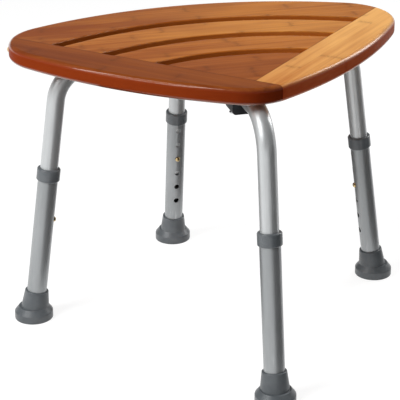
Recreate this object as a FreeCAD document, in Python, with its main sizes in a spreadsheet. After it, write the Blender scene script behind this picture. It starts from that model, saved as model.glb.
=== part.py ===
import FreeCAD, Part
import math
import os
import re
import Sketcher
from FreeCAD import Placement, Rotation, Vector

# Triangular corner shower stool: a slatted bamboo seat on four splayed, telescoping aluminium legs.
# Millimetres, +Z up. The origin is on the floor, midway between the front and back feet.
# The front is the seat's right-angled corner (-Y); the back is its curved side (+Y).

doc = FreeCAD.newDocument("CornerShowerStool")
sheet = doc.addObject("Spreadsheet::Sheet", "Sizes")

DRIVING_SIZES = {
    # seat
    "seat_height": 416,
    "seat_thickness": 23.3,
    "bow_radius": 539.4,
    "bow_centre_back": 346.9,
    "side_radius": 690.6,
    "side_centre_across": 308.8,
    "side_centre_forward": 402.9,
    "apex_round": 69,
    "corner_round": 79.9,
    "edge_round": 6.4,
    "seam_apex": 171.9,
    "outer_slat_width": 79.9,
    "slat_width": 58.75,
    "drain_gap": 19,
    "slat_edge_round": 2,
    "dowel_diameter": 8,
    "dowel_length": 36,
    "dowel_spacing": 30,
    "corner_dowel_length": 26,
    "corner_dowel_reach": 15,
    "inner_dowel_margin": 33.875,
    "glue_gap": 0.1,
    # legs
    "foot_reach": 272.2,
    "side_foot_reach": 265.8,
    "side_leg_offset": 58.4,
    "leg_tilt": 8.5,
    "side_leg_tilt": 7.8,
    "bend_radius": 55,
    "run_inner_end": 44,
    "upper_tube_diameter": 25.4,
    "upper_tube_wall": 1.2,
    "lower_tube_wall": 1.5,
    "telescope_clearance": 0.1,
    "hole_pitch": 25.4,
    "button_level": 155.4,
    "overlap_below_button": 27,
    "lower_tube_top": 231.4,
    "collar_wall": 2.4,
    "collar_length": 18,
    "collar_lip": 3,
    "collar_edge_round": 2.4,
    "collar_chamfer_width": 0.8,
    "collar_chamfer_height": 1,
    "press_clearance": 0.05,
    # snap button and its spring
    "button_diameter": 7.6,
    "button_stand_out": 3,
    "button_flange_diameter": 11,
    "button_flange_thickness": 1,
    "button_clearance": 0.25,
    "button_outer_clearance": 0.3,
    "button_edge_land": 0.2,
    "button_flange_gap": 1.6,
    "spring_strip_width": 7,
    "spring_strip_thickness": 0.8,
    "spring_length": 38,
    "spring_wall_gap": 1,
    "spring_bow_height": 7,
    "spring_bow_width": 6,
    # rubber tip and washer
    "tip_flange_width": 6.4,
    "tip_flange_height": 11,
    "tip_flange_round": 2.5,
    "tip_shoulder_level": 19,
    "tip_shoulder_wall": 7.15,
    "tip_grip_start": 7,
    "tip_rim_wall": 2.65,
    "tip_rim_round": 1.5,
    "tip_length": 43.5,
    "tip_floor": 7.5,
    "washer_thickness": 1.5,
    "washer_edge_gap": 0.8,
    "washer_hole": 8,
    # saddles, screws and plugs
    "saddle_channel_wall": 1.7,
    "saddle_screw_margin": 4.2,
    "saddle_floor": 8.4,
    "saddle_length": 32,
    "saddle_edge_round": 5,
    "outer_saddle_reach": 122.5,
    "side_outer_saddle_reach": 102,
    "saddle_gap": 15.5,
    "side_saddle_gap": 4,
    "saddle_clearance": 0.1,
    "screw_shank_diameter": 4,
    "screw_grip": 15,
    "screw_point_length": 3,
    "screw_head_diameter": 7.8,
    "screw_head_height": 2.6,
    "screw_crown_width": 4.8,
    "screw_side_height": 0.9,
    "screw_recess_width": 1,
    "screw_recess_length": 4.2,
    "screw_recess_depth": 1.5,
    "screw_clearance": 0.3,
    "plug_head_thickness": 2,
    "plug_head_chamfer": 1,
    "plug_stem_length": 12,
    "plug_stem_taper": 0.6,
    # how far a cutting solid runs past the face that it opens
    "cutter_overrun": 1,
}


def fill_sheet():
    """Write the driving sizes, one to a row, each under its own alias."""
    for row, (alias, value) in enumerate(DRIVING_SIZES.items(), start=1):
        sheet.set("A%d" % row, alias)
        sheet.set("B%d" % row, str(value))
        sheet.setAlias("B%d" % row, alias)
    doc.recompute()


fill_sheet()


def value_of(expression):
    """The present value of an expression in sheet aliases."""
    return float(sheet.evalExpression(expression))


def bound(expression):
    """Turn the aliases in an expression into references to the sheet."""
    return re.sub(r"[a-z]+(_[a-z]+)+", lambda found: "Sizes." + found.group(), expression)


def bind(item, sizes):
    for name, expression in sizes.items():
        item.setExpression(name, bound(expression))


# ---------------------------------------------------------------- building blocks

def cylinder(name, radius, height, placement=Placement()):
    item = doc.addObject("Part::Cylinder", name)
    bind(item, {"Radius": radius, "Height": height})
    item.Placement = placement
    return item


def cone(name, base_radius, top_radius, height, placement=Placement()):
    item = doc.addObject("Part::Cone", name)
    bind(item, {"Radius1": base_radius, "Radius2": top_radius, "Height": height})
    item.Placement = placement
    return item


def box(name, length, width, height, placement=Placement()):
    item = doc.addObject("Part::Box", name)
    bind(item, {"Length": length, "Width": width, "Height": height})
    item.Placement = placement
    return item


def joined(name, shapes):
    item = doc.addObject("Part::MultiFuse", name)
    item.Shapes = shapes
    return item


def shared(name, shapes):
    item = doc.addObject("Part::MultiCommon", name)
    item.Shapes = shapes
    return item


def cut(name, base, tool):
    item = doc.addObject("Part::Cut", name)
    item.Base = base
    item.Tool = tool
    return item


def rounded(name, base, radius, wanted):
    """Fillet the edges of base for which wanted(edge) is true."""
    doc.recompute()
    item = doc.addObject("Part::Fillet", name)
    item.Base = base
    edges = enumerate(base.Shape.Edges, start=1)
    item.Edges = [(number, radius, radius) for number, edge in edges if wanted(edge)]
    return item


def rounded_body_edges(body, name, radius, wanted):
    """Add a PartDesign fillet on the tip's edges for which wanted(edge) is true."""
    doc.recompute()
    tip = body.Tip
    edges = enumerate(tip.Shape.Edges, start=1)
    chosen = ["Edge%d" % number for number, edge in edges if wanted(edge)]
    fillet = body.newObject("PartDesign::Fillet", name)
    fillet.Base = (tip, chosen)
    bind(fillet, {"Radius": radius})
    return fillet


def origin_plane(body, role):
    return [plane for plane in body.Origin.OriginFeatures if plane.Role == role][0]


def outline_sketch(body, name, role, corners):
    """A closed polygon whose corners are pairs of expressions, measured from the body's origin."""
    sketch = body.newObject("Sketcher::SketchObject", name)
    sketch.AttachmentSupport = [(origin_plane(body, role), "")]
    sketch.MapMode = "FlatFace"
    places = [Vector(value_of(across), value_of(along), 0) for across, along in corners]
    count = len(places)
    for index in range(count):
        start, end = places[index], places[(index + 1) % count]
        sketch.addGeometry(Part.LineSegment(start, end), False)
    for index in range(count):
        follower = (index + 1) % count
        sketch.addConstraint(Sketcher.Constraint("Coincident", index, 2, follower, 1))
    for index, (across, along) in enumerate(corners):
        pin_coordinate(sketch, "DistanceX", index, across, -2)
        pin_coordinate(sketch, "DistanceY", index, along, -1)
    return sketch


def pin_coordinate(sketch, kind, index, expression, axis):
    """Hold one coordinate of a corner: on the axis where it is zero, else at a bound distance."""
    if expression == "0":
        sketch.addConstraint(Sketcher.Constraint("PointOnObject", index, 1, axis))
        return
    value = value_of(expression)
    number = sketch.addConstraint(Sketcher.Constraint(kind, -1, 1, index, 1, value))
    sketch.setExpression("Constraints[%d]" % number, bound(expression))


def revolved(name, corners, placement=Placement()):
    """A body turned from a closed profile: corners are (radius, height) expressions."""
    body = doc.addObject("PartDesign::Body", name)
    sketch = outline_sketch(body, name + "_profile", "XZ_Plane", corners)
    turned = body.newObject("PartDesign::Revolution", name + "_turned")
    turned.Profile = sketch
    turned.ReferenceAxis = (sketch, ["V_Axis"])
    turned.Angle = 360
    sketch.Visibility = False
    body.Placement = placement
    doc.recompute()
    return body


def extruded(name, role, corners, depth, placement=Placement()):
    """A body padded evenly to both sides of an origin plane."""
    body = doc.addObject("PartDesign::Body", name)
    sketch = outline_sketch(body, name + "_profile", role, corners)
    pad = body.newObject("PartDesign::Pad", name + "_pad")
    pad.Profile = sketch
    pad.Midplane = True
    bind(pad, {"Length": depth})
    sketch.Visibility = False
    body.Placement = placement
    doc.recompute()
    return body


def is_circle_at(edge, radius, level, axis=Vector(0, 0, 1)):
    """True for a circular edge of this radius whose centre lies at this level along axis."""
    curve = edge.Curve
    if not isinstance(curve, Part.Circle):
        return False
    return abs(curve.Radius - radius) < 0.01 and abs(curve.Center.dot(axis) - level) < 0.01


X_AXIS = Vector(1, 0, 0)
Y_AXIS = Vector(0, 1, 0)
Z_AXIS = Vector(0, 0, 1)
finished = []


def finish(item, node):
    """Name a sub-part: its label is also its file's name."""
    item.Label = node
    finished.append(item)
    return item


# ---------------------------------------------------------------- seat
# The outline is the overlap of three large discs, one for each bowed side, with its
# three corners rounded. Two 45 degree seams meet in a right angle near the front corner.

seat_top = value_of("seat_height")
seat_bottom = value_of("seat_height - seat_thickness")
seam_apex = Vector(0, -value_of("seam_apex"), 0)
bow_centre = Vector(0, -value_of("bow_centre_back"), 0)
overrun = value_of("cutter_overrun")
SEAT_REACH = "2 * bow_radius"
SEAT_CUTTER_HEIGHT = "seat_thickness + 2 * cutter_overrun"


def is_upright_corner(edge):
    is_line = isinstance(edge.Curve, Part.Line)
    return is_line and abs(edge.tangentAt(edge.FirstParameter).z) > 0.999


def seat_blank():
    across = value_of("side_centre_across")
    forward = value_of("side_centre_forward")
    centres = {
        "bow": (bow_centre, "bow_radius"),
        "left": (Vector(across, forward, 0), "side_radius"),
        "right": (Vector(-across, forward, 0), "side_radius"),
    }
    discs = []
    for side, (centre, radius) in centres.items():
        base = Vector(centre.x, centre.y, seat_bottom)
        discs.append(cylinder(side + "_disc", radius, "seat_thickness", Placement(base, Rotation())))
    outline = shared("seat_outline", discs)
    corners = rounded("apex_rounded", outline, value_of("apex_round"),
                      lambda edge: is_upright_corner(edge) and edge.CenterOfMass.y < 0)
    corners = rounded("corners_rounded", corners, value_of("corner_round"),
                      lambda edge: is_upright_corner(edge) and abs(edge.CenterOfMass.x) > across / 2)
    return rounded("seat_blank", corners, value_of("edge_round"),
                   lambda edge: abs(edge.tangentAt(edge.FirstParameter).z) < 0.001)


def half_seat_box(name, degrees, shift_along):
    """A box over the seat with one face on a seam: turned about the point where the seams meet."""
    turn = Rotation(Z_AXIS, degrees)
    start = seam_apex + turn.multVec(Vector(-shift_along, 0, 0))
    base = Vector(start.x, start.y, seat_bottom - overrun)
    length = SEAT_REACH if shift_along == 0 else "2 * (%s)" % SEAT_REACH
    return box(name, length, SEAT_REACH, SEAT_CUTTER_HEIGHT, Placement(base, turn))


def seat_pieces():
    """The two boards and the four slats, before their dowel holes."""
    blank = seat_blank()
    wide = value_of(SEAT_REACH)
    beyond_left_seam = half_seat_box("beyond_left_seam", -45, wide)
    between_seams = half_seat_box("between_seams", 45, 0)
    right_of_left_board = shared("right_of_left_board", [blank, beyond_left_seam])
    pieces = {
        "left_board": cut("left_board_blank", blank, beyond_left_seam),
        "right_board": cut("right_board_blank", right_of_left_board, between_seams),
    }
    panel = shared("slat_panel", [blank, between_seams])
    for number, node in enumerate(SLATS):
        pieces[node] = slat(number, node, panel)
    return pieces


SLATS = ["outer_slat", "second_slat", "third_slat", "inner_slat"]


def gap_radius(number):
    """Outer and inner radius of a drain gap, as expressions, from the bow's centre."""
    outer = "(bow_radius - outer_slat_width - %d * (slat_width + drain_gap))" % number
    return outer, "(%s - drain_gap)" % outer


def slat_radii(number):
    """Outer and inner edge of a slat, as expressions; the first and last are open on one side."""
    outer = "bow_radius" if number == 0 else gap_radius(number - 1)[1]
    inner = None if number == len(SLATS) - 1 else gap_radius(number)[0]
    return outer, inner


def seat_disc(name, radius):
    base = Vector(bow_centre.x, bow_centre.y, seat_bottom - overrun)
    return cylinder(name, radius, SEAT_CUTTER_HEIGHT, Placement(base, Rotation()))


def slat(number, node, panel):
    outer, inner = slat_radii(number)
    piece = panel
    gap_edges = []
    if number > 0:
        piece = shared(node + "_inside_gap", [piece, seat_disc(node + "_outer_disc", outer)])
        gap_edges.append(value_of(outer))
    if inner:
        piece = cut(node + "_strip", piece, seat_disc(node + "_inner_disc", inner))
        gap_edges.append(value_of(inner))

    def borders_gap(edge):
        levels = (seat_top, seat_bottom)
        return any(is_circle_at(edge, radius, level) for radius in gap_edges for level in levels)

    return rounded(node + "_eased", piece, value_of("slat_edge_round"), borders_gap)


def seam_point(radius, side):
    """Where a circle about the bow's centre crosses a seam; side is -1 left, +1 right."""
    offset = seam_apex.y - bow_centre.y
    across = (-offset + math.sqrt(2 * radius ** 2 - offset ** 2)) / 2
    return Vector(side * across, seam_apex.y + across, 0)


def dowel_places():
    """Middle and direction of each slat dowel, square to the seam that it crosses."""
    places = {}
    for number, node in enumerate(SLATS):
        outer, inner = slat_radii(number)
        inner = inner or "(%s - 2 * inner_dowel_margin)" % outer
        middle = value_of("(%s + %s) / 2" % (outer, inner))
        for step in (-0.5, 0.5):
            radius = middle + step * value_of("dowel_spacing")
            for side in (-1, 1):
                key = (node, "left_board" if side < 0 else "right_board", len(places))
                places[key] = (seam_point(radius, side), Vector(side, -1, 0).normalize())
    return places


def dowel(middle, direction, length, radius):
    level = (seat_top + seat_bottom) / 2
    start = Vector(middle.x, middle.y, level) - direction * (length / 2)
    return Part.makeCylinder(radius, length, start, direction)


def corner_dowel_place():
    """The corner dowel crosses the butt joint where the left board runs through to the corner."""
    reach = value_of("corner_dowel_reach")
    middle = seam_apex + Vector(1, -1, 0).normalize() * reach
    return middle, Vector(1, 1, 0).normalize()


def make_seat():
    pieces = seat_pieces()
    doc.recompute()
    places = dowel_places()
    radius = value_of("dowel_diameter / 2")
    length = value_of("dowel_length")
    gap = value_of("glue_gap")
    dowels = []
    holes = {node: [] for node in pieces}
    for (slat_node, board_node, _), (middle, direction) in places.items():
        dowels.append(dowel(middle, direction, length, radius))
        hole = dowel(middle, direction, length + 2 * gap, radius + gap)
        holes[slat_node].append(hole)
        holes[board_node].append(hole)
    middle, direction = corner_dowel_place()
    corner_length = value_of("corner_dowel_length")
    corner_dowel = dowel(middle, direction, corner_length, radius)
    corner_hole = dowel(middle, direction, corner_length + 2 * gap, radius + gap)
    holes["left_board"].append(corner_hole)
    holes["right_board"].append(corner_hole)
    for node, piece in pieces.items():
        tools = shape_feature(node + "_holes", Part.makeCompound(holes[node] + screw_holes(piece)))
        finish(cut(node, piece, tools), node)
    finish(shape_feature("slat_dowels", Part.makeCompound(dowels)), "slat_dowels")
    finish(shape_feature("corner_dowel", corner_dowel), "corner_dowel")


def shape_feature(name, shape):
    item = doc.addObject("Part::Feature", name)
    item.Shape = shape
    return item


# ---------------------------------------------------------------- where the legs stand
# Each leg lies in an upright plane. In that plane x points outwards, z up; the bent tube
# runs in under the seat. Along the leg, z runs up its axis from the floor.

LEGS = {
    "front": (0, -90),
    "back": (0, 90),
    "left": (value_of("side_leg_offset"), 180),
    "right": (value_of("side_leg_offset"), 0),
}

TUBE_RADIUS = "(upper_tube_diameter / 2)"
TUBE_BORE = "(upper_tube_diameter / 2 - upper_tube_wall)"
LOWER_TUBE_BORE = "(upper_tube_diameter / 2 + telescope_clearance)"
LOWER_TUBE_RADIUS = "(upper_tube_diameter / 2 + telescope_clearance + lower_tube_wall)"
TUBE_LEVEL = "(seat_height - seat_thickness - upper_tube_diameter / 2 - saddle_clearance)"
tube_level = value_of(TUBE_LEVEL)


def leg_size(leg, alias):
    """The alias of a size that the two side legs have of their own."""
    return "side_" + alias if leg in ("left", "right") else alias


def bend_turn(leg):
    return "(90 - %s)" % leg_size(leg, "leg_tilt")


def bend_tangent(leg):
    return "(bend_radius * tan(%s / 2 * 1 deg))" % bend_turn(leg)


def bend_start(leg):
    """Where the bend begins, out along the run from the middle of the stool."""
    reach, tilt = leg_size(leg, "foot_reach"), leg_size(leg, "leg_tilt")
    return "(%s - %s * tan(%s * 1 deg) - %s)" % (reach, TUBE_LEVEL, tilt, bend_tangent(leg))


def bend_end(leg):
    """Where the bend ends, up along the leg's axis from the floor."""
    return "(%s / cos(%s * 1 deg) - %s)" % (TUBE_LEVEL, leg_size(leg, "leg_tilt"), bend_tangent(leg))


def leg_plane(leg):
    forward, heading = LEGS[leg]
    return Placement(Vector(0, forward, 0), Rotation(Z_AXIS, heading))


def leg_axis(leg):
    """Placement whose z runs up the leg's axis from the floor and whose x points outwards."""
    reach = value_of(leg_size(leg, "foot_reach"))
    tilt = value_of(leg_size(leg, "leg_tilt"))
    return leg_plane(leg).multiply(Placement(Vector(reach, 0, 0), Rotation(Y_AXIS, -tilt)))


def across_leg(leg, level):
    """Placement on the leg's axis whose z points at the middle of the stool."""
    turn = Placement(Vector(0, 0, level), Rotation(Y_AXIS, -90))
    return leg_axis(leg).multiply(turn)


# ---------------------------------------------------------------- saddles, screws

SADDLES = ("outer", "inner")
CHANNEL_RADIUS = "(upper_tube_diameter / 2 + saddle_clearance)"
SCREW_RADIUS = "(screw_shank_diameter / 2)"
SCREW_HOLE_RADIUS = "(screw_shank_diameter / 2 + screw_clearance)"
SCREW_OFFSET = "(%s + saddle_channel_wall + %s)" % (CHANNEL_RADIUS, SCREW_HOLE_RADIUS)
SADDLE_HALF_WIDTH = "(%s + saddle_screw_margin)" % SCREW_OFFSET
SADDLE_DEPTH = "(2 * %s + saddle_floor)" % CHANNEL_RADIUS
SADDLE_LOW = "(seat_height - seat_thickness - %s)" % SADDLE_DEPTH


def saddle_reach(leg, which):
    """The middle of a saddle, out along the run; the inner one stands a gap behind the outer."""
    outer = leg_size(leg, "outer_saddle_reach")
    if which == "outer":
        return value_of(outer)
    return value_of("%s - saddle_length - %s" % (outer, leg_size(leg, "saddle_gap")))


def screw_places(leg):
    """The two screws of each saddle, as points on the floor plan."""
    offset = value_of(SCREW_OFFSET)
    spots = []
    for which in SADDLES:
        reach = saddle_reach(leg, which)
        spots += [leg_plane(leg).multVec(Vector(reach, side * offset, 0)) for side in (-1, 1)]
    return spots


def all_screw_places():
    return [spot for leg in LEGS for spot in screw_places(leg)]


def screw_holes(piece):
    """Pilot holes for the screws that enter this piece from below."""
    radius = value_of("%s + glue_gap" % SCREW_RADIUS)
    depth = value_of("screw_grip + glue_gap")
    holes = []
    for spot in all_screw_places():
        base = Vector(spot.x, spot.y, seat_bottom)
        if piece.Shape.isInside(base + Vector(0, 0, depth / 2), 0.01, True):
            holes.append(Part.makeCylinder(radius, depth, base))
    return holes


def saddle(leg, which):
    """A moulded block under the seat with a channel for the tube, open at the top."""
    node = "%s_saddle_%s" % (which, leg)
    middle = Placement(Vector(saddle_reach(leg, which), 0, 0), Rotation())
    at_seat = leg_plane(leg).multiply(middle)
    corners = [
        ("-" + SADDLE_HALF_WIDTH, SADDLE_LOW),
        (SADDLE_HALF_WIDTH, SADDLE_LOW),
        (SADDLE_HALF_WIDTH, "seat_height - seat_thickness"),
        ("-" + SADDLE_HALF_WIDTH, "seat_height - seat_thickness"),
    ]
    # the profile lies across the tube, so the body is turned until its depth lies along it
    crosswise = at_seat.multiply(Placement(Vector(0, 0, 0), Rotation(Z_AXIS, 90)))
    block = extruded(node + "_block", "XZ_Plane", corners, "saddle_length", crosswise)
    low_level = value_of(SADDLE_LOW)
    rounded_body_edges(block, node + "_rounding", "saddle_edge_round",
                       lambda edge: is_level_edge(edge, low_level))
    channel = tube_channel(node, at_seat)
    holes = []
    for number, side in enumerate((-1, 1)):
        base = Vector(0, side * value_of(SCREW_OFFSET), low_level - overrun)
        spot = at_seat.multiply(Placement(base, Rotation()))
        holes.append(cylinder("%s_hole_%d" % (node, number), SCREW_HOLE_RADIUS,
                              "%s + 2 * cutter_overrun" % SADDLE_DEPTH, spot))
    tool = joined(node + "_removed", [channel] + holes)
    finish(cut(node, block, tool), node)


def is_level_edge(edge, level):
    """A straight edge along the tube at the saddle's lower face."""
    ends = [vertex.Point.z for vertex in edge.Vertexes]
    is_long = abs(edge.Length - value_of("saddle_length")) < 0.01
    return is_long and all(abs(height - level) < 0.01 for height in ends)


def tube_channel(node, at_seat):
    """A slot with a round bottom that clears the tube and opens at the seat's underside."""
    length = "saddle_length + 2 * cutter_overrun"
    start = Vector(-value_of(length) / 2, 0, tube_level)
    along = Placement(start, Rotation(Y_AXIS, 90))
    round_part = cylinder(node + "_round", CHANNEL_RADIUS, length, at_seat.multiply(along))
    corner = Vector(start.x, -value_of(CHANNEL_RADIUS), tube_level)
    open_part = box(node + "_open", length, "2 * " + CHANNEL_RADIUS, "upper_tube_diameter",
                    at_seat.multiply(Placement(corner, Rotation())))
    return joined(node + "_channel", [round_part, open_part])


def make_screws():
    """Cross-recessed pan head screws that pull the saddles up against the seat."""
    head_radius = "(screw_head_diameter / 2)"
    top = "(%s + screw_grip)" % SADDLE_DEPTH
    corners = [("0", "-screw_head_height"), ("screw_crown_width / 2", "-screw_head_height"),
               (head_radius, "-screw_side_height"), (head_radius, "0"), (SCREW_RADIUS, "0"),
               (SCREW_RADIUS, top + " - screw_point_length"), ("0", top)]
    turned = revolved("screw_turned", corners)
    pattern = cut("screw_pattern", turned, screw_recess())
    doc.recompute()
    level = value_of(SADDLE_LOW)
    screws = []
    for spot in all_screw_places():
        screw = pattern.Shape.copy()
        screw.Placement = Placement(Vector(spot.x, spot.y, level), Rotation())
        screws.append(screw)
    finish(shape_feature("saddle_screws", Part.makeCompound(screws)), "saddle_screws")


def screw_recess():
    """Two crossed slots, sunk into the head from below."""
    low = -value_of("screw_head_height") - overrun
    depth = "screw_recess_depth + cutter_overrun"
    slots = []
    for name, length, width in (("slot_one", "screw_recess_length", "screw_recess_width"),
                                ("slot_two", "screw_recess_width", "screw_recess_length")):
        corner = Vector(-value_of(length) / 2, -value_of(width) / 2, low)
        slots.append(box("screw_" + name, length, width, depth, Placement(corner, Rotation())))
    return joined("screw_recess", slots)


# ---------------------------------------------------------------- legs

INNER_TUBE_END = "(button_level - overlap_below_button)"
HOLES_ABOVE = 2
HOLES_BELOW = 3


def bent_rod(name, leg, radius, extra):
    """A straight run, a bend and the leg's own straight, each end drawn out by extra."""
    plane = leg_plane(leg)
    run_start = Vector(value_of("run_inner_end - %s" % extra), 0, tube_level)
    run = cylinder(name + "_run", radius, "%s - run_inner_end + %s" % (bend_start(leg), extra),
                   plane.multiply(Placement(run_start, Rotation(Y_AXIS, 90))))
    centre = Vector(value_of(bend_start(leg)), 0, tube_level - value_of("bend_radius"))
    bend = doc.addObject("Part::Torus", name + "_bend")
    bind(bend, {"Radius1": "bend_radius", "Radius2": radius, "Angle3": bend_turn(leg)})
    bend.Placement = plane.multiply(Placement(centre, Rotation(Z_AXIS, X_AXIS, Y_AXIS, "XYZ")))
    low_end = Vector(0, 0, value_of("%s - %s" % (INNER_TUBE_END, extra)))
    straight = cylinder(name + "_straight", radius,
                        "%s - %s + %s" % (bend_end(leg), INNER_TUBE_END, extra),
                        leg_axis(leg).multiply(Placement(low_end, Rotation())))
    return joined(name, [run, bend, straight])


def upper_tube(leg):
    node = "upper_tube_" + leg
    outside = bent_rod(node + "_outside", leg, TUBE_RADIUS, "0")
    inside = bent_rod(node + "_inside", leg, TUBE_BORE, "cutter_overrun")
    hole = cylinder(node + "_hole", "button_diameter / 2 + button_clearance", "upper_tube_diameter",
                    across_leg(leg, value_of("button_level")))
    finish(cut(node, outside, joined(node + "_removed", [inside, hole])), node)


def tube_plug(leg):
    """A moulded plug that closes the tube's inner end under the seat."""
    stem = "%s - press_clearance" % TUBE_BORE
    corners = [("0", "-plug_head_thickness"),
               ("%s - plug_head_chamfer" % TUBE_RADIUS, "-plug_head_thickness"),
               (TUBE_RADIUS, "-plug_head_thickness + plug_head_chamfer"), (TUBE_RADIUS, "0"),
               (stem, "0"), (stem + " - plug_stem_taper", "plug_stem_length"), ("0", "plug_stem_length")]
    start = Placement(Vector(value_of("run_inner_end"), 0, tube_level), Rotation(Y_AXIS, 90))
    node = "tube_plug_" + leg
    finish(revolved(node, corners, leg_plane(leg).multiply(start)), node)


def lower_tube(leg):
    """The sliding tube, with six lock holes facing the middle of the stool."""
    node = "lower_tube_" + leg
    start = Placement(Vector(0, 0, value_of("tip_floor + washer_thickness")), Rotation())
    length = "lower_tube_top - tip_floor - washer_thickness"
    outside = cylinder(node + "_outside", LOWER_TUBE_RADIUS, length, leg_axis(leg).multiply(start))
    below = Placement(start.Base - Vector(0, 0, overrun), Rotation())
    inside = cylinder(node + "_inside", LOWER_TUBE_BORE, length + " + 2 * cutter_overrun",
                      leg_axis(leg).multiply(below))
    removed = [inside]
    for step in range(-HOLES_BELOW, HOLES_ABOVE + 1):
        level = value_of("button_level") + step * value_of("hole_pitch")
        removed.append(cylinder("%s_hole_%d" % (node, step + HOLES_BELOW),
                                "button_diameter / 2 + button_outer_clearance",
                                "2 * " + LOWER_TUBE_RADIUS, across_leg(leg, level)))
    finish(cut(node, outside, joined(node + "_removed", removed)), node)


def tube_collar(leg):
    """A plastic collar pressed over the lower tube; its lip runs on the upper tube."""
    node = "tube_collar_" + leg
    fit = "(%s + press_clearance)" % LOWER_TUBE_RADIUS
    outer = "(%s + collar_wall)" % fit
    running = LOWER_TUBE_BORE
    corners = [(fit, "0"), (outer + " - collar_chamfer_width", "0"), (outer, "collar_chamfer_height"),
               (outer, "collar_length"), (running, "collar_length"),
               (running, "collar_length - collar_lip"),
               (fit, "collar_length - collar_lip")]
    low = Placement(Vector(0, 0, value_of("lower_tube_top + collar_lip - collar_length")), Rotation())
    body = revolved(node, corners, leg_axis(leg).multiply(low))
    rim_radius = value_of(outer)
    rim_level = value_of("collar_length")
    rounded_body_edges(body, node + "_rounding", "collar_edge_round",
                       lambda edge: is_circle_at(edge, rim_radius, rim_level))
    finish(body, node)


def snap_button(leg):
    """A domed pin with a flange inside the upper tube; z points out through both tubes."""
    node = "snap_button_" + leg
    pin = "button_diameter / 2"
    outer = "(%s + button_stand_out)" % LOWER_TUBE_RADIUS
    seat = "(%s - button_flange_gap)" % TUBE_BORE
    corners = [("0", seat + " - button_flange_thickness"),
               ("button_flange_diameter / 2", seat + " - button_flange_thickness"),
               ("button_flange_diameter / 2", seat), (pin, seat), (pin, outer), ("0", outer)]
    body = revolved(node, corners, across_leg(leg, value_of("button_level")))
    pin_radius = value_of(pin)
    dome_level = value_of(outer)
    rounded_body_edges(body, node + "_dome", "button_stand_out - button_edge_land",
                       lambda edge: is_circle_at(edge, pin_radius, dome_level))
    finish(body, node)


def button_spring(leg):
    """A bent steel strip inside the upper tube: one leaf bears on the button, one on the wall."""
    node = "button_spring_" + leg
    near = "(%s - button_flange_gap - button_flange_thickness)" % TUBE_BORE
    far = "(spring_wall_gap - %s)" % TUBE_BORE
    near_inside = near + " - spring_strip_thickness"
    far_inside = far + " + spring_strip_thickness"
    low = "(-button_flange_diameter / 2)"
    high = "spring_length"
    high_inside = "spring_length - spring_strip_thickness"
    knee = "(spring_length - spring_bow_height)"
    knee_inside = knee + " - spring_strip_thickness / 2"
    bow = "spring_bow_width / 2"
    bow_inside = "(spring_bow_width - spring_strip_thickness) / 2"
    corners = [(near, low), (near, knee), (bow, high), ("-" + bow, high), (far, knee), (far, low),
               (far_inside, low), (far_inside, knee_inside), ("-" + bow_inside, high_inside),
               (bow_inside, high_inside), (near_inside, knee_inside), (near_inside, low)]
    at_button = Placement(Vector(0, 0, value_of("button_level")), Rotation(Z_AXIS, 180))
    body = extruded(node, "XZ_Plane", corners, "spring_strip_width", leg_axis(leg).multiply(at_button))
    finish(body, node)


def tip_washer(leg):
    """A steel washer that keeps the tube from cutting through the rubber."""
    node = "tip_washer_" + leg
    hole = "washer_hole / 2"
    edge = "(%s - washer_edge_gap)" % LOWER_TUBE_RADIUS
    corners = [(hole, "0"), (edge, "0"), (edge, "washer_thickness"), (hole, "washer_thickness")]
    low = Placement(Vector(0, 0, value_of("tip_floor")), Rotation())
    finish(revolved(node, corners, leg_axis(leg).multiply(low)), node)


def rubber_tip(leg):
    """A rubber foot: a level flange on the floor and a tapered socket in line with the leg."""
    node = "rubber_tip_" + leg
    reach = value_of(leg_size(leg, "foot_reach"))
    level = leg_plane(leg).multiply(Placement(Vector(reach, 0, 0), Rotation()))
    bore = "(%s + press_clearance)" % LOWER_TUBE_RADIUS
    shoulder = "(%s + tip_shoulder_wall)" % bore
    edge = "(%s + tip_flange_width)" % shoulder
    corners = [("0", "0"), (edge, "0"), (edge, "tip_flange_height"), (shoulder, "tip_shoulder_level"),
               ("0", "tip_shoulder_level")]
    flange = revolved(node + "_flange", corners, level)
    rim = value_of(edge)
    rounded_body_edges(flange, node + "_flange_rounding", "tip_flange_round",
                       lambda edge: is_circle_at(edge, rim, value_of("tip_flange_height")))
    rounded_body_edges(flange, node + "_base_rounding", "tip_flange_round / 2",
                       lambda edge: is_circle_at(edge, rim, 0))
    start = Placement(Vector(0, 0, value_of("tip_grip_start")), Rotation())
    socket_edge = "%s + tip_rim_wall" % bore
    grip = cone(node + "_grip", shoulder, socket_edge, "tip_length - tip_grip_start",
                leg_axis(leg).multiply(start))
    top_edge = 2 * math.pi * value_of(socket_edge)
    grip = rounded(node + "_grip_rounded", grip, value_of("tip_rim_round"),
                   lambda edge: isinstance(edge.Curve, Part.Circle) and abs(edge.Length - top_edge) < 0.01)
    floor = Placement(Vector(0, 0, value_of("tip_floor")), Rotation())
    socket = cylinder(node + "_socket", bore, "tip_length", leg_axis(leg).multiply(floor))
    finish(cut(node, joined(node + "_solid", [flange, grip]), socket), node)


def make_leg(leg):
    upper_tube(leg)
    tube_plug(leg)
    snap_button(leg)
    button_spring(leg)
    lower_tube(leg)
    tube_collar(leg)
    tip_washer(leg)
    rubber_tip(leg)


# ---------------------------------------------------------------- build, check, write

def check_document():
    for item in doc.Objects:
        if {"Invalid", "Error"} & set(item.State):
            raise RuntimeError("%s failed: %s" % (item.Name, item.State))
    for item in finished:
        if item.Shape.isNull() or not item.Shape.isValid():
            raise RuntimeError("%s has no valid shape" % item.Label)


def write_parts():
    os.makedirs("parts", exist_ok=True)
    for item in finished:
        item.Shape.exportStep("parts/%s.step" % item.Label)
        print("%-24s solids %d  volume %.1f" % (item.Label, len(item.Shape.Solids), item.Shape.Volume))


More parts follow.
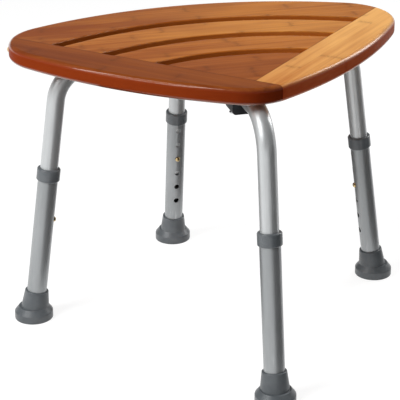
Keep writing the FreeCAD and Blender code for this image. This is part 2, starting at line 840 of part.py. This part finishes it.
make_seat()
for leg_name in LEGS:
    for saddle_name in SADDLES:
        saddle(leg_name, saddle_name)
make_screws()
for leg_name in LEGS:
    make_leg(leg_name)
doc.recompute()
check_document()
write_parts()
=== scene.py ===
import math
import bmesh
import bpy
from mathutils import Matrix, Vector

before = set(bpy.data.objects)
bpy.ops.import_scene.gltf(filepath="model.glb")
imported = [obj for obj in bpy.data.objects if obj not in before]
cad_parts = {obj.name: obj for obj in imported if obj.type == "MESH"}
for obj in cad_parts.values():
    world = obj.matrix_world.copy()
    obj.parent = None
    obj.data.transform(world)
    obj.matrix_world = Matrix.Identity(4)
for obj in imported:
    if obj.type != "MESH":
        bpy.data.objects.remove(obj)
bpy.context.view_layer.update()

scene = bpy.context.scene
scene.view_settings.view_transform = "Standard"

# ---------------------------------------------------------------- camera
# A long lens, about a metre above the floor, looks down on the front corner from its left
# side. The small shift sets the framing.

CAMERA_PLACE = Vector((-0.5812, -2.0250, 1.0808))
CAMERA_HEADING = math.radians(15.67)
CAMERA_DOWN = math.radians(22.85)
CAMERA_ROLL = math.radians(-0.15)

camera_data = bpy.data.cameras.new("camera")
camera_data.lens = 143.5
camera_data.sensor_width = 36
camera_data.shift_x = -0.025
camera_data.shift_y = -0.0233
camera = bpy.data.objects.new("camera", camera_data)
look = Matrix.Rotation(-CAMERA_HEADING, 4, "Z") @ Matrix.Rotation(math.pi / 2 - CAMERA_DOWN, 4, "X")
camera.matrix_world = Matrix.Translation(CAMERA_PLACE) @ look @ Matrix.Rotation(CAMERA_ROLL, 4, "Z")
scene.collection.objects.link(camera)
scene.camera = camera

# ---------------------------------------------------------------- studio
# A pale floor that keeps a soft shadow, a white surround, a large soft key lamp from the
# left and a weaker fill from the right. Two more lamps and the dark cloth panels show in
# reflections only: they make the shine on the rounded edges and the dark bands on the tubes.

FLOOR_SIZE = 24.0
FLOOR_TONE = 0.74
FLOOR_GLOW = 1.22
GLOW_SHARE = 0.70


def new_material(name):
    material = bpy.data.materials.new(name)
    material.use_nodes = True
    nodes = material.node_tree.nodes
    nodes.clear()
    output = nodes.new("ShaderNodeOutputMaterial")
    return material, nodes, material.node_tree.links, output


def seen_share(nodes, links):
    """1 where the camera, a mirror or glass sees the surface, 0 where it only lights others."""
    rays = nodes.new("ShaderNodeLightPath")
    share = rays.outputs["Is Camera Ray"]
    for name in ("Is Glossy Ray", "Is Transmission Ray"):
        either = nodes.new("ShaderNodeMath")
        either.operation = "MAXIMUM"
        links.new(share, either.inputs[0])
        links.new(rays.outputs[name], either.inputs[1])
        share = either.outputs[0]
    return share


def floor_material():
    material, nodes, links, output = new_material("studio_floor")
    paper = nodes.new("ShaderNodeBsdfDiffuse")
    paper.inputs["Color"].default_value = (FLOOR_TONE, FLOOR_TONE, FLOOR_TONE, 1)
    glow = nodes.new("ShaderNodeEmission")
    glow.inputs["Color"].default_value = (1, 1, 1, 1)
    glow.inputs["Strength"].default_value = FLOOR_GLOW
    share = nodes.new("ShaderNodeMath")
    share.operation = "MULTIPLY"
    share.inputs[1].default_value = GLOW_SHARE
    mix = nodes.new("ShaderNodeMixShader")
    links.new(seen_share(nodes, links), share.inputs[0])
    links.new(share.outputs[0], mix.inputs["Fac"])
    links.new(paper.outputs["BSDF"], mix.inputs[1])
    links.new(glow.outputs["Emission"], mix.inputs[2])
    links.new(mix.outputs["Shader"], output.inputs["Surface"])
    return material


def stage_panel(name, width, height, material):
    """A flat upright panel, standing on its lower edge with its face towards -Y."""
    mesh = bpy.data.meshes.new(name)
    shape = bmesh.new()
    bmesh.ops.create_grid(shape, x_segments=1, y_segments=1, size=0.5)
    bmesh.ops.scale(shape, verts=shape.verts, vec=(width, height, 1))
    bmesh.ops.rotate(shape, verts=shape.verts, matrix=Matrix.Rotation(math.pi / 2, 3, "X"))
    bmesh.ops.translate(shape, verts=shape.verts, vec=(0, 0, height / 2))
    shape.to_mesh(mesh)
    shape.free()
    mesh.materials.append(material)
    panel = bpy.data.objects.new(name, mesh)
    scene.collection.objects.link(panel)
    return panel


def only_in_reflections(panel):
    panel.visible_camera = False
    panel.visible_diffuse = False
    panel.visible_shadow = False
    panel.visible_transmission = False
    panel.visible_volume_scatter = False


floor = stage_panel("floor", FLOOR_SIZE, FLOOR_SIZE, floor_material())
floor.matrix_world = Matrix.Rotation(-math.pi / 2, 4, "X") @ Matrix.Translation((0, 0, -FLOOR_SIZE / 2))


def felt(name, level):
    """Cloth of one even tone that glows at it rather than taking light, for the panels that the polished
    parts mirror.
    """
    material, nodes, links, output = new_material(name)
    # the panel glows at its set tone instead of being lit, so the dark reflections it gives are set here
    tone = nodes.new("ShaderNodeEmission")
    tone.inputs["Color"].default_value = (level, level, level, 1)
    links.new(tone.outputs["Emission"], output.inputs["Surface"])
    material.cycles.emission_sampling = "NONE"
    return material


CEILING_SIZE = 30.0
CEILING_HEIGHT = 2.6
ceiling = stage_panel("ceiling", CEILING_SIZE, CEILING_SIZE, felt("ceiling_felt", 0.10))
ceiling_place = Matrix.Translation((0, -CEILING_SIZE / 2, CEILING_HEIGHT))
ceiling.matrix_world = ceiling_place @ Matrix.Rotation(-math.pi / 2, 4, "X")
only_in_reflections(ceiling)

# one low dark flag stands beside each leg, to its front right
FLAG_FELT = felt("flag_felt", 0.06)
FLAG_WIDTH = 0.26
FLAG_HEIGHT = 0.37
FLAG_TURN = math.radians(-42)
FLAG_DISTANCE = 0.12
FLAG_LEGS = {"front": (0, -0.26, 0), "back": (0, 0.26, 0), "left": (-0.25, 0.06, 0), "right": (0.25, 0.06, 0)}
for leg, leg_spot in FLAG_LEGS.items():
    flag = stage_panel("flag_" + leg, FLAG_WIDTH, FLAG_HEIGHT, FLAG_FELT)
    flag_spot = Vector(leg_spot) + FLAG_DISTANCE * Vector((math.cos(FLAG_TURN), math.sin(FLAG_TURN), 0))
    flag.matrix_world = Matrix.Translation(flag_spot) @ Matrix.Rotation(FLAG_TURN + math.pi / 2, 4, "Z")
    only_in_reflections(flag)

WORLD_LIGHT = 0.24


def make_surround():
    """White where the camera, a mirror or glass sees it, a softer grey as a light."""
    world = bpy.data.worlds.new("surround")
    scene.world = world
    world.use_nodes = True
    nodes = world.node_tree.nodes
    links = world.node_tree.links
    nodes.clear()
    output = nodes.new("ShaderNodeOutputWorld")
    seen = nodes.new("ShaderNodeBackground")
    seen.inputs["Color"].default_value = (1, 1, 1, 1)
    seen.inputs["Strength"].default_value = 1
    light = nodes.new("ShaderNodeBackground")
    light.inputs["Color"].default_value = (1, 1, 1, 1)
    light.inputs["Strength"].default_value = WORLD_LIGHT
    mix = nodes.new("ShaderNodeMixShader")
    links.new(seen_share(nodes, links), mix.inputs["Fac"])
    links.new(light.outputs["Background"], mix.inputs[1])
    links.new(seen.outputs["Background"], mix.inputs[2])
    links.new(mix.outputs["Shader"], output.inputs["Surface"])


make_surround()


def make_lamp(name, place, width, height, power):
    """A rectangular soft lamp aimed at the middle of the seat."""
    data = bpy.data.lights.new(name, "AREA")
    data.shape = "RECTANGLE"
    data.size = width
    data.size_y = height
    data.energy = power
    lamp = bpy.data.objects.new(name, data)
    lamp.location = place
    lamp.rotation_euler = (Vector(SEAT_MIDDLE) - Vector(place)).to_track_quat("-Z", "Y").to_euler()
    scene.collection.objects.link(lamp)
    return lamp


SEAT_MIDDLE = (0, 0, 0.36)
KEY_PLACE = (-1.65, -0.50, 1.75)
FILL_PLACE = (1.15, 0.70, 1.35)
GLINT_PLACE = (1.9, 0.65, 1.30)

# the key and the fill light the stool, and the sheen and the glint are only mirrored in it
key = make_lamp("key", KEY_PLACE, 0.9, 0.9, 54)
key.visible_glossy = False
sheen = make_lamp("sheen", KEY_PLACE, 1.2, 1.2, 34)
sheen.visible_diffuse = False
fill = make_lamp("fill", FILL_PLACE, 1.0, 1.0, 15)
fill.visible_glossy = False
glint = make_lamp("glint", GLINT_PLACE, 0.6, 1.3, 22)
glint.visible_diffuse = False

# ---------------------------------------------------------------- bamboo seat
# Boards and slats are sawn from laminated bamboo: strips glued side by side, each with
# its own tone and a knuckle mark every hand's length, stained and varnished to a gloss.
# Each piece gets paler across the seat, partly its own tone and partly painted light falloff.
# The two boards' inner edges meet at the seam apex, ahead of the seat's middle. Next to the
# front corner the upright faces deepen, partly stain and partly painted shade.

STRIP_WIDTH = 0.021
KNUCKLE_PITCH = 0.23
KNUCKLE_WIDTH = 0.006
HALO_WIDTH = 3.2 * KNUCKLE_WIDTH
SEAM_APEX = 0.1719
GLUE_LINE = 0.0004

# how finely each pattern repeats, along the grain and across it
FIBRE_GRAIN = (14, 900, 900)
STREAK_GRAIN = (5, 160, 160)
CLOUD_GRAIN = (6, 22, 22)
SPECK_GRAIN = (260, 420, 420)
WAVER_GRAIN = (20, 120, 120)

# how much each pattern moves the wood from its dark tone towards its light one, and the
# shift at the darker and at the paler end of a piece, partly its own tone and partly
# painted light falloff
STRIP_SHARE = 0.24
STREAK_SHARE = 0.40
CLOUD_SHARE = 0.38
FIBRE_SHARE = 0.10
SHADED_DARK_END = -0.26
LIT_PALE_END = 0.34

VARNISH_TINT = (1.0, 0.42, 0.16, 1)
VARNISH_ON_SIDES = 0.005
VARNISH_ON_TOP = 0.13


class Recipe:
    """Short names for wiring one material's nodes."""

    def __init__(self, name):
        self.material, self.nodes, self.links, self.output = new_material(name)

    def put(self, target, value):
        if hasattr(value, "is_output"):
            self.links.new(value, target)
        elif value is not None:
            target.default_value = value

    def math(self, operation, first, second=None, third=None):
        node = self.nodes.new("ShaderNodeMath")
        node.operation = operation
        for socket, value in zip(node.inputs, (first, second, third)):
            self.put(socket, value)
        return node.outputs[0]

    def noise(self, vector, scale, detail=2.0, roughness=0.5):
        node = self.nodes.new("ShaderNodeTexNoise")
        self.put(node.inputs["Vector"], vector)
        node.inputs["Scale"].default_value = scale
        node.inputs["Detail"].default_value = detail
        node.inputs["Roughness"].default_value = roughness
        return node.outputs["Fac"]

    def ramp(self, value, low, high, out_low=0.0, out_high=1.0):
        node = self.nodes.new("ShaderNodeMapRange")
        node.interpolation_type = "SMOOTHSTEP"
        self.put(node.inputs["Value"], value)
        node.inputs["From Min"].default_value = low
        node.inputs["From Max"].default_value = high
        node.inputs["To Min"].default_value = out_low
        node.inputs["To Max"].default_value = out_high
        return node.outputs["Result"]

    def blend(self, factor, first, second):
        node = self.nodes.new("ShaderNodeMix")
        node.data_type = "RGBA"
        self.put(node.inputs[0], factor)
        self.put(node.inputs[6], first)
        self.put(node.inputs[7], second)
        return node.outputs[2]

    def place(self, heading=0.0, scale=(1, 1, 1), shift=(0, 0, 0)):
        """Object coordinates turned so that x runs along the heading."""
        source = self.nodes.new("ShaderNodeTexCoord")
        turned = self.nodes.new("ShaderNodeMapping")
        turned.vector_type = "POINT"
        turned.inputs["Rotation"].default_value = (0, 0, -heading)
        turned.inputs["Location"].default_value = shift
        self.links.new(source.outputs["Object"], turned.inputs["Vector"])
        stretched = self.nodes.new("ShaderNodeMapping")
        stretched.inputs["Scale"].default_value = scale
        self.links.new(turned.outputs["Vector"], stretched.inputs["Vector"])
        return stretched.outputs["Vector"]

    def parts(self, vector):
        node = self.nodes.new("ShaderNodeSeparateXYZ")
        self.links.new(vector, node.inputs[0])
        return node.outputs["X"], node.outputs["Y"], node.outputs["Z"]

    def random(self, first, second):
        """A steady random number for each pair of whole numbers."""
        joined = self.nodes.new("ShaderNodeCombineXYZ")
        self.put(joined.inputs[0], first)
        self.put(joined.inputs[1], second)
        node = self.nodes.new("ShaderNodeTexWhiteNoise")
        node.noise_dimensions = "2D"
        self.links.new(joined.outputs[0], node.inputs["Vector"])
        return node.outputs["Value"]

    def bump(self, height, strength, distance):
        node = self.nodes.new("ShaderNodeBump")
        node.inputs["Strength"].default_value = strength
        node.inputs["Distance"].default_value = distance
        self.put(node.inputs["Height"], height)
        return node.outputs["Normal"]

    def surface(self, color, roughness, normal=None, **others):
        shader = self.nodes.new("ShaderNodeBsdfPrincipled")
        self.put(shader.inputs["Base Color"], color)
        self.put(shader.inputs["Roughness"], roughness)
        self.put(shader.inputs["Normal"], normal)
        for name, value in others.items():
            self.put(shader.inputs[name.replace("_", " ")], value)
        self.links.new(shader.outputs["BSDF"], self.output.inputs["Surface"])
        return self.material


def bamboo(name, heading, dark, light, sides, seed, paler, rim):
    """Laminated bamboo with its grain along heading.

    sides: stain of the upright faces, left of the front corner and right of it (the deep one next to the
    corner is stain and painted shade)
    paler: the two places across the seat between which the wood gets paler (own tone and painted light
    falloff)
    rim: how much varnish is added on the rounded edge
    """
    recipe = Recipe(name)
    along, across, _ = recipe.parts(recipe.place(heading, shift=(seed, seed * 0.37, 0)))
    strip = recipe.math("DIVIDE", across, STRIP_WIDTH)
    strip_number = recipe.math("FLOOR", strip)
    strip_place = recipe.math("FRACT", strip)
    tone = recipe.random(strip_number, seed)

    # knuckles: each strip's own series of short dark marks
    series = recipe.math("ADD", recipe.math("DIVIDE", along, KNUCKLE_PITCH),
                         recipe.random(strip_number, seed + 7.0))
    drift = recipe.noise(recipe.place(heading, WAVER_GRAIN), 1.0, 2.0)
    waver = recipe.ramp(drift, 0.2, 0.8, 0.488, 0.512)
    from_knuckle = recipe.math("ABSOLUTE", recipe.math("SUBTRACT", recipe.math("FRACT", series), waver))
    knuckle = recipe.ramp(from_knuckle, 0.0, KNUCKLE_WIDTH / KNUCKLE_PITCH, 1.0, 0.0)
    halo = recipe.ramp(from_knuckle, 0.0, HALO_WIDTH / KNUCKLE_PITCH, 1.0, 0.0)

    # the grain: fine fibres, streaks along them and broad clouds
    fibres = recipe.noise(recipe.place(heading, FIBRE_GRAIN), 1.0, 3.0, 0.65)
    streaks = recipe.noise(recipe.place(heading, STREAK_GRAIN), 1.0, 4.0, 0.6)
    clouds = recipe.noise(recipe.place(heading, CLOUD_GRAIN), 1.0, 3.0, 0.55)
    speck = recipe.noise(recipe.place(heading, SPECK_GRAIN), 1.0, 2.0, 0.6)

    x, y, _ = recipe.parts(recipe.place())
    # painted light falloff: the wood gets paler across the piece, partly also its own tone
    mixture = recipe.ramp(x, *paler, SHADED_DARK_END, LIT_PALE_END)
    mixture = recipe.math("MULTIPLY_ADD", tone, STRIP_SHARE, mixture)
    mixture = recipe.math("MULTIPLY_ADD", recipe.ramp(streaks, 0.3, 0.7), STREAK_SHARE, mixture)
    mixture = recipe.math("MULTIPLY_ADD", recipe.ramp(clouds, 0.25, 0.75), CLOUD_SHARE, mixture)
    mixture = recipe.math("MULTIPLY_ADD", recipe.ramp(fibres, 0.35, 0.65, -0.5, 0.5), FIBRE_SHARE, mixture)
    color = recipe.blend(mixture, dark, light)

    knuckle_ink = recipe.math("MULTIPLY", knuckle, recipe.ramp(speck, 0.35, 0.6, 0.08, 0.42))
    darker = tuple(channel * 0.45 for channel in dark[:3]) + (1,)
    color = recipe.blend(knuckle_ink, color, darker)
    color = recipe.blend(recipe.math("MULTIPLY", halo, 0.10), color, darker)

    # glue lines: between strips, and along the two boards' inner edges
    off_middle = recipe.math("ABSOLUTE", recipe.math("SUBTRACT", strip_place, 0.5))
    strip_line = recipe.ramp(off_middle, 0.478, 0.497, 0.0, 0.16)
    color = recipe.blend(strip_line, color, darker)
    seam_line = None
    for side in (1, -1):
        from_seam = recipe.math("ADD", recipe.math("MULTIPLY", x, side), recipe.math("ADD", y, SEAM_APEX))
        line = recipe.ramp(recipe.math("ABSOLUTE", from_seam), GLUE_LINE, 3 * GLUE_LINE, 0.75, 0.0)
        if side < 0:
            line = recipe.math("MULTIPLY", line, recipe.ramp(x, -GLUE_LINE, GLUE_LINE))
        seam_line = line if seam_line is None else recipe.math("MAXIMUM", seam_line, line)
    color = recipe.blend(seam_line, color, darker)

    # the upright faces have their own stain, up is 0 on them and 1 on the flat top
    geometry = recipe.nodes.new("ShaderNodeNewGeometry")
    up = recipe.math("ABSOLUTE", recipe.parts(geometry.outputs["Normal"])[2])
    # next to the front corner the upright faces take the deep tone: partly stain, partly painted shade
    past_corner = recipe.ramp(x, -0.11, 0.05)
    side_stain_and_shade = recipe.blend(past_corner, *sides)
    color = recipe.blend(recipe.ramp(up, 0.25, 0.98, 0.88, 0.0), color, side_stain_and_shade)

    height = recipe.math("MULTIPLY_ADD", fibres, 0.6, recipe.math("MULTIPLY", strip_line, -1.5))
    normal = recipe.bump(height, 0.10, 0.0006)
    gloss = recipe.ramp(clouds, 0.2, 0.8, 0.30, 0.42)
    on_rim = recipe.math("MULTIPLY", recipe.ramp(up, 0.12, 0.4), recipe.ramp(up, 0.86, 0.985, 1.0, 0.0))
    plain_varnish = recipe.ramp(up, 0.1, 0.9, VARNISH_ON_SIDES, VARNISH_ON_TOP)
    varnish = recipe.math("MULTIPLY_ADD", on_rim, rim, plain_varnish)
    return recipe.surface(color, gloss, normal, IOR=1.3, Specular_Tint=VARNISH_TINT,
                          Specular_IOR_Level=recipe.ramp(up, 0.05, 0.5, 0.03, 0.5),
                          Coat_Weight=varnish, Coat_Roughness=0.10)


def dress(node, material):
    """Give a carried-over node its finish."""
    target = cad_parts[node]
    target.data.materials.clear()
    target.data.materials.append(material)


LEFT_GRAIN = -math.pi / 4
RIGHT_GRAIN = math.pi / 4
SLAT_GRAIN = 0.0

RUSSET = ((0.16, 0.030, 0.004, 1), (0.31, 0.082, 0.012, 1))
HONEY = ((0.50, 0.160, 0.028, 1), (0.84, 0.43, 0.130, 1))
SLAT_TONES = {
    "outer_slat": ((0.24, 0.053, 0.007, 1), (0.53, 0.190, 0.036, 1)),
    "second_slat": ((0.31, 0.078, 0.011, 1), (0.64, 0.260, 0.055, 1)),
    "third_slat": ((0.27, 0.062, 0.008, 1), (0.55, 0.195, 0.036, 1)),
    "inner_slat": ((0.19, 0.037, 0.005, 1), (0.38, 0.108, 0.018, 1)),
}

RED_STAIN = (0.20, 0.026, 0.005, 1)
# the deep tone of the upright faces at the front corner: partly stain, partly painted shade
CORNER_STAIN_AND_SHADE = (0.11, 0.008, 0.002, 1)
CHERRY_STAIN = (0.30, 0.030, 0.008, 1)
WARM_STAIN = (0.33, 0.082, 0.012, 1)

# where each piece gets paler across the seat: partly its own tone, partly painted light falloff
LEFT_TONE_AND_LIGHT_FALLOFF = (-0.5, 0.5)
RIGHT_TONE_AND_LIGHT_FALLOFF = (-0.02, 0.24)
SLATS_TONE_AND_LIGHT_FALLOFF = (-0.22, 0.20)
LEFT_RIM = 1.0
RIGHT_RIM = 0.22

dress("left_board", bamboo("bamboo_left_board", LEFT_GRAIN, *RUSSET, (RED_STAIN, CORNER_STAIN_AND_SHADE), 3.0,
                           LEFT_TONE_AND_LIGHT_FALLOFF, LEFT_RIM))
dress("right_board", bamboo("bamboo_right_board", RIGHT_GRAIN, *HONEY, (CORNER_STAIN_AND_SHADE, CHERRY_STAIN), 5.0,
                            RIGHT_TONE_AND_LIGHT_FALLOFF, RIGHT_RIM))
for number, (slat, tones) in enumerate(SLAT_TONES.items()):
    dress(slat, bamboo("bamboo_" + slat, SLAT_GRAIN, *tones, (WARM_STAIN, WARM_STAIN), 11.0 + 2 * number,
                       SLATS_TONE_AND_LIGHT_FALLOFF, 0.0))

# ---------------------------------------------------------------- dowels
# Turned beech pins, glued into blind holes in the slats' ends and in the butt joint at the
# front corner. They are left bare.

BEECH_DARK = (0.5, 0.33, 0.18, 1)
BEECH_LIGHT = (0.66, 0.48, 0.29, 1)


def dowel_wood():
    recipe = Recipe("dowel_beech")
    grain = recipe.noise(recipe.place(0, (40, 40, 40)), 1.0, 3.0)
    return recipe.surface(recipe.blend(grain, BEECH_DARK, BEECH_LIGHT), 0.7)


BEECH = dowel_wood()
dress("slat_dowels", BEECH)
dress("corner_dowel", BEECH)

# ---------------------------------------------------------------- aluminium tubes
# Drawn aluminium tube, anodised to a satin silver. Faint draw lines run along it, and the
# upper tubes carry fine slide marks just above their collars.

# for each leg: where its axis meets the floor, the heading its foot points to, and its tilt
LEG_STANCE = {
    "front": ((0, -0.2722), -90, 8.5),
    "back": ((0, 0.2722), 90, 8.5),
    "left": ((-0.2658, 0.0584), 180, 7.8),
    "right": ((0.2658, 0.0584), 0, 7.8),
}
LEGS = tuple(LEG_STANCE)


def leg_place(recipe, leg, scale=(1, 1, 1)):
    """Coordinates in the leg's own frame: z up its axis from the floor, x outwards."""
    (foot_x, foot_y), heading, tilt = LEG_STANCE[leg]
    source = recipe.nodes.new("ShaderNodeTexCoord")
    own = recipe.nodes.new("ShaderNodeMapping")
    own.vector_type = "TEXTURE"
    own.inputs["Location"].default_value = (foot_x, foot_y, 0)
    own.inputs["Rotation"].default_value = (0, -math.radians(tilt), math.radians(heading))
    recipe.links.new(source.outputs["Object"], own.inputs["Vector"])
    stretched = recipe.nodes.new("ShaderNodeMapping")
    stretched.inputs["Scale"].default_value = scale
    recipe.links.new(own.outputs["Vector"], stretched.inputs["Vector"])
    return stretched.outputs["Vector"]


SILVER_DARK = (0.55, 0.567, 0.572, 1)
SILVER_LIGHT = (0.64, 0.657, 0.662, 1)
PEWTER_DARK = (0.33, 0.345, 0.352, 1)
PEWTER_LIGHT = (0.40, 0.415, 0.422, 1)
DRAW_LINE_GREY = (0.25, 0.26, 0.27, 1)
BARE_METAL = (0.62, 0.63, 0.64, 1)
WEAR_FROM = {"upper": 0.225, "lower": 0.04}
WEAR_TO = {"upper": 0.30, "lower": 0.08}


def anodised(leg, dark, light, worn_from, worn_to):
    """Satin tube; fine slide marks run along it between the two heights."""
    recipe = Recipe("anodised_tube_%s_%d" % (leg, round(worn_from * 1000)))
    lines = recipe.noise(leg_place(recipe, leg, (1100, 1100, 9)), 1.0, 2.0, 0.6)
    cloud = recipe.noise(leg_place(recipe, leg, (30, 30, 7)), 1.0, 3.0, 0.55)
    scratch = recipe.noise(leg_place(recipe, leg, (520, 520, 26)), 1.0, 1.0)
    _, _, height = recipe.parts(leg_place(recipe, leg))
    fade_in = recipe.ramp(height, worn_from - 0.004, worn_from + 0.004)
    fade_out = recipe.ramp(height, worn_to - 0.03, worn_to, 1.0, 0.0)
    stretch = recipe.math("MULTIPLY", fade_in, fade_out)
    worn = recipe.math("MULTIPLY", recipe.ramp(scratch, 0.60, 0.70), stretch)
    color = recipe.blend(recipe.ramp(cloud, 0.3, 0.7), dark, light)
    line_ink = recipe.math("MULTIPLY", recipe.ramp(lines, 0.3, 0.7), 0.10)
    color = recipe.blend(line_ink, color, DRAW_LINE_GREY)
    color = recipe.blend(recipe.math("MULTIPLY", worn, 0.35), color, BARE_METAL)
    roughness = recipe.math("MULTIPLY_ADD", worn, -0.08, recipe.ramp(lines, 0.3, 0.7, 0.33, 0.41))
    return recipe.surface(color, roughness, recipe.bump(lines, 0.05, 0.0002), Metallic=0.6)


for leg in LEGS:
    upper = anodised(leg, SILVER_DARK, SILVER_LIGHT, WEAR_FROM["upper"], WEAR_TO["upper"])
    lower = anodised(leg, PEWTER_DARK, PEWTER_LIGHT, WEAR_FROM["lower"], WEAR_TO["lower"])
    dress("upper_tube_" + leg, upper)
    dress("lower_tube_" + leg, lower)

# ---------------------------------------------------------------- collars
# Grey moulded plastic sleeves pressed on the tops of the lower tubes. They are smoother than
# the rubber tips and take a soft shine.


def moulded(name, dark, light, roughness, grain_size, depth):
    recipe = Recipe(name)
    grain = recipe.noise(recipe.place(), grain_size, 3.0, 0.6)
    cloud = recipe.noise(recipe.place(), 40.0, 2.0)
    color = recipe.blend(recipe.ramp(cloud, 0.3, 0.7), dark, light)
    rough = recipe.ramp(grain, 0.3, 0.7, roughness - 0.06, roughness + 0.06)
    return recipe.surface(color, rough, recipe.bump(grain, 0.12, depth), IOR=1.48)


COLLAR_DARK = (0.096, 0.107, 0.116, 1)
COLLAR_LIGHT = (0.126, 0.137, 0.146, 1)
COLLAR_GREY = moulded("collar_grey", COLLAR_DARK, COLLAR_LIGHT, 0.26, 1400.0, 0.0002)
for leg in LEGS:
    dress("tube_collar_" + leg, COLLAR_GREY)

# ---------------------------------------------------------------- rubber tips
# Grey rubber feet pushed on the ends of the lower tubes, duller than the collars, with a
# steel washer bedded in each.

TIP_DARK = (0.086, 0.096, 0.104, 1)
TIP_LIGHT = (0.120, 0.131, 0.140, 1)
TIP_GREY = moulded("tip_rubber", TIP_DARK, TIP_LIGHT, 0.36, 1100.0, 0.0003)
for leg in LEGS:
    dress("rubber_tip_" + leg, TIP_GREY)

# ---------------------------------------------------------------- saddles and plugs
# Black moulded plastic: saddles screwed up under the seat hold the bent tubes, and a plug
# closes each tube's inner end.

SADDLE_DARK = (0.010, 0.011, 0.014, 1)
SADDLE_LIGHT = (0.016, 0.017, 0.020, 1)
SADDLE_BLACK = moulded("saddle_black", SADDLE_DARK, SADDLE_LIGHT, 0.38, 1300.0, 0.0002)
for leg in LEGS:
    dress("outer_saddle_" + leg, SADDLE_BLACK)
    dress("inner_saddle_" + leg, SADDLE_BLACK)
    dress("tube_plug_" + leg, SADDLE_BLACK)

# ---------------------------------------------------------------- buttons
# Small brass-coloured metal locking buttons, standing out of one hole on the inner side of
# each leg. A finger pushes one in to let the lower tube slide.


def plated(name, dark, light, roughness):
    recipe = Recipe(name)
    cloud = recipe.noise(recipe.place(), 260.0, 3.0)
    color = recipe.blend(recipe.ramp(cloud, 0.3, 0.7), dark, light)
    rough = recipe.ramp(cloud, 0.2, 0.8, roughness - 0.05, roughness + 0.08)
    return recipe.surface(color, rough, recipe.bump(cloud, 0.03, 0.0002), Metallic=1.0)


BRASS_DARK = (0.62, 0.46, 0.22, 1)
BRASS_LIGHT = (0.78, 0.62, 0.36, 1)
BRASS = plated("button_brass", BRASS_DARK, BRASS_LIGHT, 0.22)
for leg in LEGS:
    dress("snap_button_" + leg, BRASS)

# ---------------------------------------------------------------- springs, washers and screws
# Small zinc-plated steel parts: the leaf springs behind the buttons, the washers in the
# tips and the screws that hold the saddles to the seat.

ZINC_DARK = (0.55, 0.56, 0.57, 1)
ZINC_LIGHT = (0.68, 0.69, 0.70, 1)
ZINC = plated("zinc_plate", ZINC_DARK, ZINC_LIGHT, 0.32)
for leg in LEGS:
    dress("button_spring_" + leg, ZINC)
    dress("tip_washer_" + leg, ZINC)
dress("saddle_screws", ZINC)
